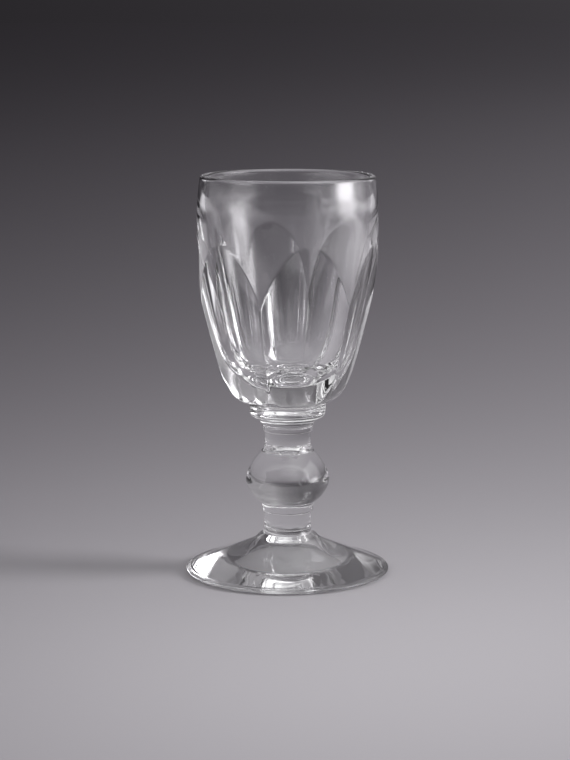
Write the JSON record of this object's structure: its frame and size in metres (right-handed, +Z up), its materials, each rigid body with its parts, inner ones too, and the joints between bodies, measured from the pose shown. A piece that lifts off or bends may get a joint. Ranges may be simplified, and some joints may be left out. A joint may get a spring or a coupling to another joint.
{
  "type": "liqueur glass",
  "caption": "Small stemmed liqueur glass of clear cut crystal: a deep bowl with arched flutes on a knopped stem and a round foot.",
  "frame": {"origin": "centre of the foot's resting plane, where the glass's axis meets the table", "axes": "+Z up along the glass's axis towards the rim; -Y faces the middle of one flute"},
  "size_m": [0.0494, 0.0494, 0.0964],
  "materials": {
    "bowl_crystal": "clear colourless crystal, smooth inside, the flutes cut and polished",
    "stem_crystal": "clear colourless crystal, fire polished",
    "foot_crystal": "clear colourless crystal, fire polished above, its resting ring finely worn"
  },
  "bodies": {
    "root": {"foot": "foot_crystal", "lower_shank": "stem_crystal", "lower_collar": "stem_crystal", "knop": "stem_crystal", "upper_shank": "stem_crystal", "upper_collar": "stem_crystal", "merese": "stem_crystal", "bowl": "bowl_crystal"}
  },
  "joints": []
}
